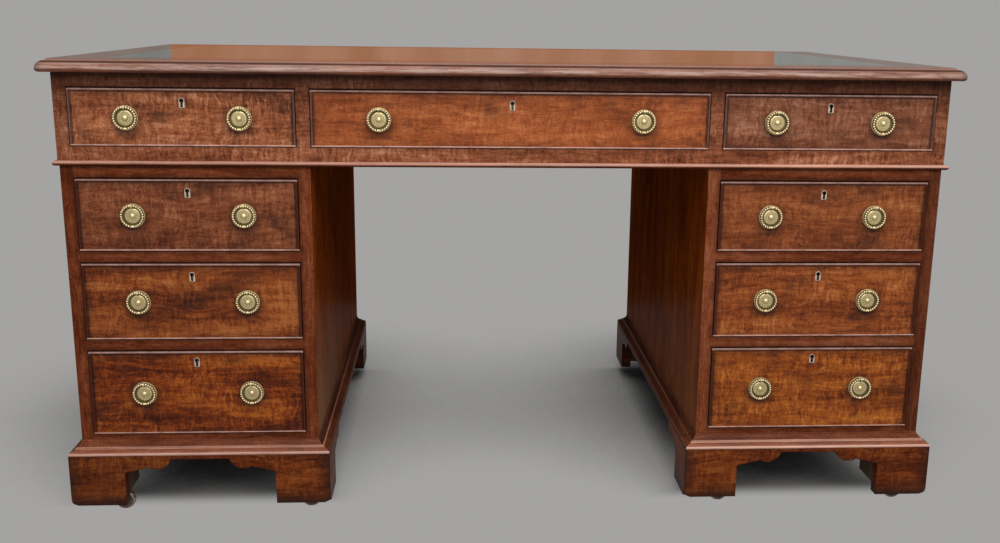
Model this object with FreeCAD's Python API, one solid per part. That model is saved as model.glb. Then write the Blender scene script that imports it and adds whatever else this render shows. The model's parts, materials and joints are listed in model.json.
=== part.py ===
import FreeCAD
import Part
import math
import os

V = FreeCAD.Vector

# All lengths are millimetres. The desk stands on z = 0, its front faces -Y, and x = y = 0 is
# the middle of the top.

# Overall sizes, and the top with its moulded edge
desk_height = 794.0
top_width = 1525.0
top_depth = 885.0
top_thickness = 21.0
top_overhang = 18.5
thumb_reach = 14.0
thumb_low = 6.0
thumb_return = 5.0
quirk_depth = 2.5
thumb_upper_shares = (0.26, 0.69)
thumb_lower_shares = (0.28, 0.30)
leather_border = 92.0
leather_thickness = 1.6

# Frieze: the drawer case under the top
frieze_top_rail = 24.0
frieze_opening_height = 95.0
frieze_bottom_rail = 32.0
frieze_end_thickness = 22.0
frieze_back_thickness = 18.0
frieze_divider = 23.0
frieze_divider_lap = 2.0
frieze_bead_height = 8.0
frieze_bead_reach = 7.0
frieze_bead_flat = 3.0

# Pedestals
kneehole_share = 0.44
pedestal_inset = 2.0
pedestal_side_thickness = 21.0
pedestal_back_thickness = 15.0
pedestal_board_thickness = 18.0
pedestal_top_rail = 21.0
pedestal_mid_rail = 20.5
pedestal_bottom_rail = 35.0
drawer_height_shares = (0.302, 0.3286, 0.3694)
rail_depth = 60.0
runner_width = 20.0

# Base: mitred moulding over mitred bracket boards, with corner blocks behind the feet
base_moulding_height = 27.0
base_moulding_reach = 20.0
base_cove_reach = 8.0
base_cove_height = 14.0
base_fillet = 2.0
base_nosing_height = 6.0
base_nosing_drop = 1.5
base_cove_shares = (0.28, 0.62)
base_ovolo_shares = (0.36, 0.28)
bracket_height = 90.0
bracket_thickness = 22.0
foot_width = 94.0
foot_corner_radius = 11.0
apron_height = 6.0
scroll_run = 79.0
scroll_drop = 24.0
scroll_outer_shares = (0.28, 0.80, 0.52, 0.60)
scroll_inner_shares = (0.84, 0.64, 1.0, 0.0)
foot_block_clear = 2.0

# Castors: a horn that swivels in the corner block and a wheel that turns in the horn
castor_lift = 30.0
wheel_radius = 17.5
wheel_width = 14.0
wheel_sides = 16
castor_trail = 17.5
castor_inset = 58.0
castor_stem_radius = 5.0
castor_stem_length = 40.0
castor_crown_radius = 12.0
castor_crown_thickness = 4.0
castor_sides = 8
castor_head_gap = 4.0
castor_block_gap = 0.5
castor_cheek = 3.0
castor_cheek_gap = 0.8
axle_radius = 3.0
axle_sides = 8
axle_boss_radius = 6.5
cheek_nose_share = 0.45
running_clearance = 0.08

# Drawers
drawer_front = 20.0
drawer_side = 11.0
drawer_back = 11.0
drawer_bottom = 8.0
drawer_bottom_lift = 7.0
drawer_back_drop = 8.0
drawer_side_gap = 1.2
drawer_top_gap = 1.5
drawer_sill_gap = 0.8
drawer_rear_gap = 26.0
cock_bead_width = 3.0
cock_bead_proud = 2.5
cock_bead_ease = 0.8

# Ring pulls
pull_drop = 1.5
pull_spread_share = 0.5
pull_spread_centre_share = 0.662
plate_radius = 20.0
plate_thickness = 1.4
plate_sides = 14
boss_radius = 11.5
boss_edge = 2.8
button_radius = 4.6
button_height = 6.6
ring_radius = 17.6
ring_wire_radius = 2.1
ring_hoop_sides = 14
ring_wire_sides = 4
ring_stand_off = 6.6
lug_half_width = 2.8
lug_wrap = 2.6
pin_radius = 1.5
pin_half_length = 4.0
pin_sides = 6

# Keyholes and locks
keyhole_drop = 24.0
keyhole_drop_bottom = 21.0
keyhole_head_radius = 3.5
keyhole_head_sides = 8
keyhole_slot = 3.6
keyhole_height = 14.0
escutcheon_wall = 1.8
escutcheon_proud = 0.3
escutcheon_clearance = 0.05
lock_width = 62.0
lock_height = 40.0
lock_thickness = 10.0
lock_clearance = 0.2

# Room for cuts to run past a face
overrun = 5.0

# Heights: the base from the floor up, the rest from the top down
plinth_low = castor_lift
plinth_high = plinth_low + bracket_height
moulding_high = plinth_high + base_moulding_height
top_high = desk_height
top_low = top_high - top_thickness
frieze_high = top_low
frieze_sill = frieze_high - frieze_top_rail - frieze_opening_height
frieze_low = frieze_sill - frieze_bottom_rail
pedestal_high = frieze_low
pedestal_low = plinth_high
mid_rails = len(drawer_height_shares) - 1
rails_height = pedestal_top_rail + mid_rails * pedestal_mid_rail + pedestal_bottom_rail
drawer_room = pedestal_high - pedestal_low - rails_height
drawer_heights = [drawer_room * share for share in drawer_height_shares]
drawer_sills = []
level = pedestal_high - pedestal_top_rail
for opening_height in drawer_heights:
    drawer_sills.append(level - opening_height)
    level = level - opening_height - pedestal_mid_rail

# Places across and along the desk
frieze_half = top_width / 2 - top_overhang
frieze_front = -top_depth / 2 + top_overhang
frieze_rear = -frieze_front
pedestal_front = frieze_front + pedestal_inset
pedestal_rear = -pedestal_front
pedestal_outer = frieze_half - pedestal_inset
pedestal_inner = top_width * kneehole_share / 2
pedestal_middle = (pedestal_outer + pedestal_inner) / 2
pedestal_half = (pedestal_outer - pedestal_inner) / 2


def box(x_low, x_high, y_low, y_high, z_low, z_high):
    """A board between two corners."""
    return Part.makeBox(x_high - x_low, y_high - y_low, z_high - z_low, V(x_low, y_low, z_low))


def outline_face(path, place):
    """A flat face: each item goes straight to (a, b), or by an arc through a first pair to a second."""
    edges = []
    start = place(*path[0])
    for item in path[1:] + [path[0]]:
        end = place(*item[-2:])
        if len(item) == 4:
            edges.append(Part.Arc(start, place(*item[:2]), end).toShape())
        elif start.distanceToPoint(end) > 0:
            edges.append(Part.LineSegment(start, end).toShape())
        start = end
    return Part.Face(Part.Wire(edges))


def polygon(points):
    """A flat face with straight edges."""
    return Part.Face(Part.makePolygon(points + points[:1]))


def flat_sided(rows):
    """A solid of flat sides through rows of corners, closed by its first and last rows."""
    faces = [polygon(rows[0]), polygon(rows[-1])]
    for row, follower in zip(rows[:-1], rows[1:]):
        for index in range(len(row)):
            faces.append(polygon([row[index - 1], row[index], follower[index], follower[index - 1]]))
    return Part.makeSolid(Part.makeShell(faces))


def turned(start, axis, sides, profile):
    """A turned piece in flat sides, from (radius, distance) pairs along an axis."""
    first = V(axis.y, axis.z, axis.x)
    second = axis.cross(first)
    rows = []
    for radius, distance in profile:
        row = []
        for index in range(sides):
            angle = 2 * math.pi * index / sides
            out = first * math.cos(angle) + second * math.sin(angle)
            row.append(start + axis * distance + out * radius)
        rows.append(row)
    return flat_sided(rows)


def bore(start, axis, sides, radius, length):
    """A flat-sided hole that a round pin of this radius just fills."""
    corner_radius = radius / math.cos(math.pi / sides)
    return turned(start, axis, sides, [(corner_radius, 0), (corner_radius, length)])


def between(start, size, shares):
    """Turns pairs of shares of a width and a height into places measured from a start."""
    places = []
    for index, share in enumerate(shares):
        places.append(start[index % 2] + size[index % 2] * share)
    return tuple(places)


def mitred_frame(plan, reach, z_range, make_length):
    """Four mitred lengths round a plan rectangle: front, right, back and left."""
    x_low, x_high, y_low, y_high = plan
    centre = V((x_low + x_high) / 2, (y_low + y_high) / 2, 0)
    halves = ((x_high - x_low) / 2, (y_high - y_low) / 2)
    lengths = []
    for turn in range(4):
        along = halves[turn % 2]
        out = halves[(turn + 1) % 2]
        far = along + reach
        raw = make_length(far, out)
        corners = [(-along, -out), (along, -out), (far, -out - reach), (-far, -out - reach)]
        prism = outline_face(corners, lambda x, y: V(x, y, z_range[0]))
        length = raw.common(prism.extrude(V(0, 0, z_range[1] - z_range[0])))
        length.rotate(V(0, 0, 0), V(0, 0, 1), 90 * turn)
        length.translate(centre)
        lengths.append(length)
    return lengths


def moulded_frame(plan, reach, z_range, path):
    """Mitred lengths of one section, given as (outward, height) places."""

    def make_length(half_length, out):
        section = outline_face(path, lambda u, z: V(-half_length, -out - u, z))
        return section.extrude(V(2 * half_length, 0, 0))

    return mitred_frame(plan, reach, z_range, make_length)


def grow(plan, distance):
    """A plan rectangle, larger by a distance on every side."""
    return (plan[0] - distance, plan[1] + distance, plan[2] - distance, plan[3] + distance)


def frieze_plan():
    """The rectangle that the frieze fills under the top."""
    return (-frieze_half, frieze_half, frieze_front, frieze_rear)


def pedestal_plan(side):
    """The rectangle of one pedestal, side -1 on the left and +1 on the right."""
    middle = side * pedestal_middle
    return (middle - pedestal_half, middle + pedestal_half, pedestal_front, pedestal_rear)


def save(name, solids):
    """Writes one node, as one solid or a group of separate solids."""
    shape = solids[0] if len(solids) == 1 else Part.makeCompound(solids)
    shape.exportStep("parts/" + name + ".step")


def desk_top():
    """The top board with a thumb-moulded edge under a small quirk, and a shallow bed for the leather."""
    core_plan = grow(frieze_plan(), top_overhang - thumb_reach)
    rise = top_thickness - quirk_depth - thumb_low
    edge = [
        (0, top_low),
        (thumb_reach - thumb_return, top_low),
        between((thumb_reach, top_low), (-thumb_return, thumb_low), thumb_lower_shares)
        + (thumb_reach, top_low + thumb_low),
        between((thumb_reach, top_low + thumb_low), (-thumb_reach, rise), thumb_upper_shares)
        + (0, top_high - quirk_depth),
    ]
    lengths = moulded_frame(core_plan, thumb_reach, (top_low, top_high), edge)
    core = box(*core_plan, top_low, top_high)
    board = core.multiFuse(lengths).removeSplitter()
    bed = box(*leather_plan(), top_high - leather_thickness, top_high + overrun)
    return board.cut(bed)


def leather_plan():
    """The rectangle of the writing leather inside the wooden border."""
    return grow(frieze_plan(), top_overhang - leather_border)


def leather_panel():
    """The skin of leather laid flush in the top."""
    return box(*leather_plan(), top_high - leather_thickness, top_high)


def frieze_openings():
    """The left and right faces of the frieze's drawer openings, from left to right."""
    centre = pedestal_inner - frieze_divider_lap
    inner = centre + frieze_divider
    outer = frieze_half - frieze_end_thickness
    return [(-outer, -inner), (-centre, centre), (inner, outer)]


def frieze_frame():
    """Ends, back, front rails, dividers and the strips that carry and keep down the drawers."""
    outer = frieze_half - frieze_end_thickness
    back_face = frieze_rear - frieze_back_thickness
    rail_rear = frieze_front + rail_depth
    lintel = frieze_sill + frieze_opening_height
    boards = [
        box(-frieze_half, -outer, frieze_front, frieze_rear, frieze_low, frieze_high),
        box(outer, frieze_half, frieze_front, frieze_rear, frieze_low, frieze_high),
        box(-outer, outer, back_face, frieze_rear, frieze_low, frieze_high),
        box(-outer, outer, frieze_front, rail_rear, frieze_low, frieze_sill),
        box(-outer, outer, frieze_front, rail_rear, lintel, frieze_high),
    ]
    openings = frieze_openings()
    strips = [(-outer, -outer + runner_width), (outer - runner_width, outer)]
    for left, right in zip(openings[:-1], openings[1:]):
        boards.append(box(left[1], right[0], frieze_front, back_face, frieze_sill, lintel))
        strips.append((left[1] - runner_width, right[0] + runner_width))
    for x_low, x_high in strips:
        boards.append(box(x_low, x_high, rail_rear, back_face, frieze_sill - runner_width, frieze_sill))
        boards.append(box(x_low, x_high, rail_rear, back_face, lintel, frieze_high))
    return boards


def pedestal(side):
    """One pedestal: two sides, back, top and bottom boards, front rails and drawer runners."""
    x_low, x_high, y_low, y_high = pedestal_plan(side)
    in_low = x_low + pedestal_side_thickness
    in_high = x_high - pedestal_side_thickness
    back_face = y_high - pedestal_back_thickness
    rail_rear = y_low + rail_depth
    boards = [
        box(x_low, in_low, y_low, y_high, pedestal_low, pedestal_high),
        box(in_high, x_high, y_low, y_high, pedestal_low, pedestal_high),
        box(in_low, in_high, back_face, y_high, pedestal_low, pedestal_high),
    ]
    rails = [
        (pedestal_high - pedestal_top_rail, pedestal_high),
        (pedestal_low, drawer_sills[-1]),
    ]
    for sill in drawer_sills[:-1]:
        rails.append((sill - pedestal_mid_rail, sill))
    for z_low, z_high in rails:
        boards.append(box(in_low, in_high, y_low, rail_rear, z_low, z_high))
    for z_high in (pedestal_high, drawer_sills[-1]):
        boards.append(box(in_low, in_high, rail_rear, back_face, z_high - pedestal_board_thickness, z_high))
    for z_low, z_high in rails[2:]:
        boards.append(box(in_low, in_low + runner_width, rail_rear, back_face, z_low, z_high))
        boards.append(box(in_high - runner_width, in_high, rail_rear, back_face, z_low, z_high))
    return boards


def frieze_bead():
    """The half-round bead mitred round the foot of the frieze."""
    z_high = frieze_low + frieze_bead_height
    path = [
        (0, frieze_low),
        (frieze_bead_flat, frieze_low),
        (frieze_bead_reach, (frieze_low + z_high) / 2, frieze_bead_flat, z_high),
        (0, z_high),
    ]
    return moulded_frame(frieze_plan(), frieze_bead_reach, (frieze_low, z_high), path)


def base_moulding(side):
    """The moulding mitred round the foot of a pedestal: cove, fillet, ovolo and nosing."""
    cove_low = moulding_high - base_cove_height
    fillet_low = cove_low - base_fillet
    fillet_reach = base_cove_reach + base_fillet
    nosing_high = plinth_high + base_nosing_height
    nosing_back = base_moulding_reach - base_nosing_drop
    ovolo = (nosing_back - fillet_reach, nosing_high - fillet_low)
    path = [
        (0, plinth_high),
        (nosing_back, plinth_high),
        (base_moulding_reach, (plinth_high + nosing_high) / 2, nosing_back, nosing_high),
        between((fillet_reach, fillet_low), ovolo, (1 - base_ovolo_shares[1], 1 - base_ovolo_shares[0]))
        + (fillet_reach, fillet_low),
        (fillet_reach, cove_low),
        (base_cove_reach, cove_low),
        between((0, moulding_high), (base_cove_reach, -base_cove_height), base_cove_shares)
        + (0, moulding_high),
    ]
    return moulded_frame(pedestal_plan(side), base_moulding_reach, (plinth_high, moulding_high), path)


def bracket_outline(half_length):
    """The face of a bracket board: two feet with worn corners, and an apron with scrolled shoulders."""
    toe = half_length - foot_width
    apron = plinth_high - apron_height
    corner = foot_corner_radius * (1 - math.sqrt(0.5))
    scroll = (-scroll_run, -scroll_drop)
    right = [
        (toe, plinth_low),
        (toe, apron - scroll_drop),
        between((toe, apron), scroll, scroll_outer_shares),
        between((toe, apron), scroll, scroll_inner_shares),
    ]
    left = mirrored(right)
    ends = [
        (-half_length + foot_corner_radius, plinth_low),
        (-half_length + corner, plinth_low + corner),
        (-half_length, plinth_low + foot_corner_radius),
        (-half_length, plinth_high),
        (half_length, plinth_high),
        (half_length, plinth_low + foot_corner_radius),
        (half_length - corner, plinth_low + corner),
        (half_length - foot_corner_radius, plinth_low),
    ]
    return right + left + ends


def mirrored(path):
    """A path run backwards on the other side of a = 0, with its arcs kept."""
    points = []
    for index in range(len(path) - 1, -1, -1):
        a, b = path[index][-2:]
        follower = path[index + 1] if index + 1 < len(path) else ()
        if len(follower) == 4:
            points.append((-follower[0], follower[1], -a, b))
        else:
            points.append((-a, b))
    return points


def bracket_boards(side):
    """Four boards under the base moulding, mitred at the feet."""

    def make_length(half_length, out):
        face = outline_face(bracket_outline(half_length), lambda s, z: V(s, -out, z))
        return face.extrude(V(0, -bracket_thickness, 0))

    plan = grow(pedestal_plan(side), base_moulding_reach - bracket_thickness)
    return mitred_frame(plan, bracket_thickness, (plinth_low, plinth_high), make_length)


def castor_places(side):
    """Swivel axes and corner directions of one pedestal's four castors, with their names."""
    x_low, x_high, y_low, y_high = grow(pedestal_plan(side), base_moulding_reach)
    word = "left" if side < 0 else "right"
    places = []
    for end_name, y, y_way in (("front", y_low, 1), ("back", y_high, -1)):
        for x, x_way in ((x_low, 1), (x_high, -1)):
            part_name = "outer" if x_way == -side else "inner"
            name = word + "_" + end_name + "_" + part_name + "_castor"
            places.append((name, V(x + x_way * castor_inset, y + y_way * castor_inset, 0), x_way, y_way))
    return places


def castor_seat():
    """The height of the corner blocks' lower faces, over the castors."""
    return 2 * wheel_radius + castor_head_gap + castor_crown_thickness + castor_block_gap


def foot_blocks(side):
    """Corner blocks glued behind the feet, each bored for a castor stem."""
    blocks = []
    reach_in = foot_width - foot_block_clear
    for name, axis, x_way, y_way in castor_places(side):
        x_far = axis.x + x_way * (reach_in - castor_inset)
        y_far = axis.y + y_way * (reach_in - castor_inset)
        x_near = axis.x - x_way * (castor_inset - bracket_thickness)
        y_near = axis.y - y_way * (castor_inset - bracket_thickness)
        block = box(min(x_near, x_far), max(x_near, x_far), min(y_near, y_far), max(y_near, y_far),
                    castor_seat(), plinth_high)
        socket = bore(V(axis.x, axis.y, castor_seat()), V(0, 0, 1), castor_sides,
                      castor_stem_radius + running_clearance, castor_stem_length)
        blocks.append(block.cut(socket))
    return blocks


def castor_horn(axis):
    """A stem, crown and two cheeks with the axle between them, trailing towards +X."""
    crown_high = castor_seat() - castor_block_gap
    crown_low = crown_high - castor_crown_thickness
    cheek_inner = wheel_width / 2 + castor_cheek_gap
    cheek_outer = cheek_inner + castor_cheek
    stem_top = castor_crown_thickness + castor_stem_length - castor_block_gap
    swivel = turned(V(axis.x, axis.y, crown_low), V(0, 0, 1), castor_sides, [
        (castor_crown_radius, 0),
        (castor_crown_radius, castor_crown_thickness),
        (castor_stem_radius, castor_crown_thickness),
        (castor_stem_radius, stem_top),
    ])
    axle_x = axis.x + castor_trail
    nose = axle_boss_radius * cheek_nose_share
    cheek_path = [
        (axis.x - axle_boss_radius, crown_high),
        (axis.x - axle_boss_radius, crown_low),
        (axle_x - axle_boss_radius, wheel_radius),
        (axle_x - nose, wheel_radius - axle_boss_radius),
        (axle_x + nose, wheel_radius - axle_boss_radius),
        (axle_x + axle_boss_radius, wheel_radius),
        (axis.x + axle_boss_radius, crown_high),
    ]
    pieces = []
    for y_start in (axis.y - cheek_outer, axis.y + cheek_inner):
        face = outline_face(cheek_path, lambda x, z: V(x, y_start, z))
        pieces.append(face.extrude(V(0, castor_cheek, 0)))
    axle_start = V(axle_x, axis.y - cheek_outer, wheel_radius)
    axle = turned(axle_start, V(0, 1, 0), axle_sides, [(axle_radius, 0), (axle_radius, 2 * cheek_outer)])
    return swivel.multiFuse(pieces + [axle]).removeSplitter()


def castor_wheel(axis):
    """A plain wheel with a running bore."""
    start = V(axis.x + castor_trail, axis.y - wheel_width / 2, wheel_radius)
    wheel = turned(start, V(0, 1, 0), wheel_sides, [(wheel_radius, 0), (wheel_radius, wheel_width)])
    return wheel.cut(bore(start, V(0, 1, 0), axle_sides, axle_radius + running_clearance, wheel_width))


def drawer_openings():
    """Name, side faces, sill, height, front plane and inner back plane of every drawer opening."""
    openings = []
    frieze_back = frieze_rear - frieze_back_thickness
    for word, (x_low, x_high) in zip(("left", "centre", "right"), frieze_openings()):
        openings.append(("frieze_" + word, x_low, x_high, frieze_sill, frieze_opening_height, frieze_front,
                         frieze_back))
    pedestal_back = pedestal_rear - pedestal_back_thickness
    for side, side_word in ((-1, "left"), (1, "right")):
        x_low, x_high, y_low, y_high = pedestal_plan(side)
        for row, sill, height in zip(("top", "middle", "bottom"), drawer_sills, drawer_heights):
            openings.append((side_word + "_" + row, x_low + pedestal_side_thickness,
                             x_high - pedestal_side_thickness, sill, height, pedestal_front, pedestal_back))
    return openings


def keyhole(centre, wall, y_front, y_rear):
    """A keyhole prism, many-sided above and slotted below, grown outward by a wall."""
    x, z = centre
    head = keyhole_head_radius + wall
    half_slot = keyhole_slot / 2 + wall
    head_z = z + keyhole_height / 2 - keyhole_head_radius
    foot_z = z - keyhole_height / 2 - wall
    neck = math.asin(half_slot / head)
    path = [(x - half_slot, foot_z), (x + half_slot, foot_z)]
    for index in range(keyhole_head_sides):
        share = index / (keyhole_head_sides - 1)
        angle = neck + 2 * (math.pi - neck) * share
        path.append((x + head * math.sin(angle), head_z - head * math.cos(angle)))
    face = outline_face(path, lambda a, b: V(a, y_front, b))
    return face.extrude(V(0, y_rear - y_front, 0))


def keyhole_place(opening):
    """The middle of a drawer's keyhole."""
    name, x_low, x_high, sill, height, y_front, y_back = opening
    drop = keyhole_drop_bottom if name.endswith("bottom") else keyhole_drop
    return ((x_low + x_high) / 2, sill + height - drop)


def pull_places(opening):
    """The middles of a drawer's two ring pulls, left and right."""
    name, x_low, x_high, sill, height, y_front, y_back = opening
    middle = (x_low + x_high) / 2
    spread_share = pull_spread_centre_share if name.endswith("centre") else pull_spread_share
    spread = (x_high - x_low) * spread_share
    z = sill + height / 2 - pull_drop
    return [("left", V(middle - spread / 2, y_front, z)), ("right", V(middle + spread / 2, y_front, z))]


def drawer(opening):
    """A drawer box: front with its holes, cock beads, sides, back and bottom as separate boards."""
    name, x_low, x_high, sill, height, y_front, y_back = opening
    out_low = x_low + drawer_side_gap
    out_high = x_high - drawer_side_gap
    z_high = sill + height - drawer_top_gap
    y_box = y_front + drawer_front
    y_end = y_back - drawer_rear_gap
    face_low = sill + drawer_sill_gap + cock_bead_width
    face_high = z_high - cock_bead_width
    front = box(out_low + cock_bead_width, out_high - cock_bead_width, y_front, y_box, face_low, face_high)
    front = front.cut(keyhole(keyhole_place(opening), escutcheon_wall + escutcheon_clearance, y_front, y_box))
    front = front.cut(lock_box(opening, lock_clearance))
    beads = cock_beads((out_low + cock_bead_width, out_high - cock_bead_width, face_low, face_high),
                       y_front - cock_bead_proud, y_box)
    in_low = out_low + drawer_side
    in_high = out_high - drawer_side
    bottom_low = sill + drawer_bottom_lift
    bottom_high = bottom_low + drawer_bottom
    boards = [
        front,
        box(out_low, in_low, y_box, y_end, sill, z_high),
        box(in_high, out_high, y_box, y_end, sill, z_high),
        box(in_low, in_high, y_box, y_end, bottom_low, bottom_high),
        box(in_low, in_high, y_end - drawer_back, y_end, bottom_high, z_high - drawer_back_drop),
    ]
    return boards + beads


def cock_beads(plan, y_nose, y_rear):
    """Strips with eased noses, mitred round a drawer front."""
    shoulder = -y_nose - cock_bead_ease
    path = [
        (0, -y_rear),
        (cock_bead_width, -y_rear),
        (cock_bead_width, shoulder),
        (cock_bead_width - cock_bead_ease, -y_nose),
        (cock_bead_ease, -y_nose),
        (0, shoulder),
    ]
    strips = moulded_frame(plan, cock_bead_width, (-y_rear, -y_nose), path)
    for strip in strips:
        strip.rotate(V(0, 0, 0), V(1, 0, 0), 90)
    return strips


def lock_box(opening, clearance):
    """The lock's case, let in flush with the back of the drawer front below its top edge."""
    name, x_low, x_high, sill, height, y_front, y_back = opening
    key_x, key_z = keyhole_place(opening)
    z_high = sill + height - drawer_top_gap - cock_bead_width
    y_box = y_front + drawer_front
    half = lock_width / 2 + clearance
    z_low = z_high - lock_height - clearance
    return box(key_x - half, key_x + half, y_box - lock_thickness - clearance, y_box, z_low, z_high)


def pull_base(place):
    """A round back plate with a stepped boss and a button, and a lug with an eye for the ring's pin."""
    plate = turned(place, V(0, -1, 0), plate_sides, [
        (plate_radius, 0),
        (plate_radius, plate_thickness),
        (boss_radius, boss_edge),
        (button_radius, button_height),
    ])
    pivot = ring_pivot(place)
    lug = box(pivot.x - lug_half_width, pivot.x + lug_half_width, pivot.y - lug_wrap, place.y,
              pivot.z - lug_wrap, pivot.z + lug_wrap)
    eye = bore(V(pivot.x - lug_half_width, pivot.y, pivot.z), V(1, 0, 0), pin_sides,
               pin_radius + running_clearance, 2 * lug_half_width)
    return plate.fuse(lug).removeSplitter().cut(eye)


def ring_pivot(place):
    """The middle of the pin that a ring swings on."""
    rise = math.sqrt(ring_radius ** 2 - pin_half_length ** 2)
    return V(place.x, place.y - ring_stand_off, place.z + rise)


def ring(place):
    """A drop ring of short straight lengths, open at the top and closed there by a straight pin."""
    centre = V(place.x, place.y - ring_stand_off, place.z)
    gap_angle = math.asin(pin_half_length / ring_radius)
    rows = []
    for step in range(ring_hoop_sides + 1):
        angle = gap_angle + 2 * (math.pi - gap_angle) * step / ring_hoop_sides
        out = V(math.sin(angle), 0, math.cos(angle))
        row = []
        for corner in range(ring_wire_sides):
            turn = 2 * math.pi * corner / ring_wire_sides
            reach = ring_radius + ring_wire_radius * math.cos(turn)
            row.append(centre + out * reach + V(0, ring_wire_radius * math.sin(turn), 0))
        rows.append(row)
    pin_end = pin_half_length + pin_radius / 2
    pin_start = ring_pivot(place) - V(pin_end, 0, 0)
    pin = turned(pin_start, V(1, 0, 0), pin_sides, [(pin_radius, 0), (pin_radius, 2 * pin_end)])
    return flat_sided(rows).fuse(pin).removeSplitter()


def fittings(opening):
    """A drawer's brass: two pull bases, the escutcheon that lines the keyhole, and the lock."""
    y_front = opening[5]
    pieces = [pull_base(place) for word, place in pull_places(opening)]
    lock = lock_box(opening, 0)
    centre = keyhole_place(opening)
    liner = (y_front - escutcheon_proud, lock.BoundBox.YMin)
    pieces.append(keyhole(centre, escutcheon_wall, *liner).cut(keyhole(centre, 0, *liner)))
    pieces.append(lock)
    return pieces


def main():
    os.makedirs("parts", exist_ok=True)
    sides = (-1, 1)
    save("desk_top", [desk_top()])
    save("leather_panel", [leather_panel()])
    save("frieze_frame", frieze_frame())
    save("left_pedestal", pedestal(-1))
    save("right_pedestal", pedestal(1))
    save("applied_mouldings", frieze_bead() + base_moulding(-1) + base_moulding(1))
    save("bracket_boards", bracket_boards(-1) + bracket_boards(1))
    save("foot_blocks", foot_blocks(-1) + foot_blocks(1))
    for opening in drawer_openings():
        save(opening[0] + "_drawer", drawer(opening))
        save(opening[0] + "_fittings", fittings(opening))
        for word, place in pull_places(opening):
            save(opening[0] + "_" + word + "_ring", [ring(place)])
    for side in sides:
        for name, axis, x_way, y_way in castor_places(side):
            save(name + "_horn", [castor_horn(axis)])
            save(name + "_wheel", [castor_wheel(axis)])


main()
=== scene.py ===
import json
import math
from functools import reduce

import bmesh
import bpy
from mathutils import Matrix, Vector


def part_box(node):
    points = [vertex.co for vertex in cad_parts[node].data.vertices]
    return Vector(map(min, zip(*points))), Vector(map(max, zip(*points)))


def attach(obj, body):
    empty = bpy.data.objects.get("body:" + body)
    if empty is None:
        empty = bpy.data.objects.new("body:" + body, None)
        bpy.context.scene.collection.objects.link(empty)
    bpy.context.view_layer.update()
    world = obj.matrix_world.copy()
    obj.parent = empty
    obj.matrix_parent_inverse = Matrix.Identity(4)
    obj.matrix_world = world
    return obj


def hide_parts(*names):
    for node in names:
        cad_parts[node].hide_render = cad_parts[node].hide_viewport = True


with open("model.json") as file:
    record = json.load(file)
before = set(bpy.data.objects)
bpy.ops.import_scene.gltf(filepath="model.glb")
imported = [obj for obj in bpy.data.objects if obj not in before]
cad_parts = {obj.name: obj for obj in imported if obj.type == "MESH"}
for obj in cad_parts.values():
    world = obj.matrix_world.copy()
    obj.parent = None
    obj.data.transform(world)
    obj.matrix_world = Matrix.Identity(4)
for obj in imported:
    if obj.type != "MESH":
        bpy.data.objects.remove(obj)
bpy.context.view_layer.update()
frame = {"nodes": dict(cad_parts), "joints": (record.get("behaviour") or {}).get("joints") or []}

# All lengths are metres. The desk stands on z = 0 with its front towards -Y.
# A noise is its cells per metre, detail, roughness and distortion; three cell counts are for three axes.
# A span is a low and a high limit, and the shares below and above them.
# A turned form's shares are rows of radius, distance along the axis, and patina.

# Photograph's frame in pixels, and its camera, with the sensor in millimetres and angles in degrees
image_width = 1000
image_height = 543
focal_pixels = 1153.7
principal_x = 531.0
principal_y = 296.0
sensor_width = 36.0
camera_place = Vector((-0.0999, -2.3554, 0.8733))
camera_yaw = 4.0
camera_pitch = 13.74
camera_roll = 0.806

# Ring pulls
ring_radius = 0.0176
ring_stand_off = 0.0066
ring_core_radius = 0.0012
ring_core_sides = 8
bead_count = 26
bead_radius = 0.0019
bead_segments = (10, 6)
pin_half_length = 0.004
pin_radius = 0.0013
pin_sides = 12
knuckle_radius = 0.0019
knuckle_segments = (12, 8)
drop_radius = 0.0021
drop_share = -0.25
drop_segments = (14, 10)
lug_radius = 0.0028
lug_half_width = 0.0018
lug_sides = 18
neck_share = 0.8
neck_sides = 14
plate_radius = 0.0204
plate_height = 0.0077
plate_segments = 40
plate_shares = (
    (1.0, 0.0, 0.6), (1.0, 0.156, 0.2), (0.985, 0.234, 0.0), (0.955, 0.247, 0.0),
    (0.93, 0.182, 0.7), (0.91, 0.13, 0.95), (0.68, 0.13, 0.95), (0.64, 0.156, 0.9),
    (0.63, 0.286, 0.3), (0.605, 0.39, 0.05), (0.565, 0.429, 0.0), (0.43, 0.468, 0.1),
    (0.41, 0.455, 0.55), (0.39, 0.545, 0.1), (0.285, 0.597, 0.05), (0.265, 0.571, 0.65),
    (0.24, 0.688, 0.15), (0.185, 0.818, 0.0), (0.095, 0.948, 0.0), (0.0, 1.0, 0.0),
)
nut_half_width = 0.0052
nut_thickness = 0.0032
nut_ease = 0.0006
bolt_radius = 0.0024
bolt_end = 0.0055
bolt_sides = 14

# Drawers, keyholes and locks
front_thickness = 0.020
drawer_top_gap = 0.0015
cock_bead_width = 0.003
cock_bead_proud = 0.0025
lining_start = 0.0005
keyhole_drop = 0.024
keyhole_drop_bottom = 0.021
keyhole_radius = 0.0035
keyhole_slot = 0.0036
keyhole_height = 0.014
keyhole_segments = 22
escutcheon_wall = 0.0018
escutcheon_proud = 0.0005
escutcheon_depth = 0.0075
lock_width = 0.062
lock_height = 0.040
lock_thickness = 0.010
lock_ease = 0.0012
screw_radius = 0.0032
screw_height = 0.001
screw_sink = 0.0002
screw_inset = 0.0075
screw_segments = 16
screw_shares = ((1.0, 0.0, 0.9), (0.8, 0.7, 0.3), (0.0, 1.0, 0.2))

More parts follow.
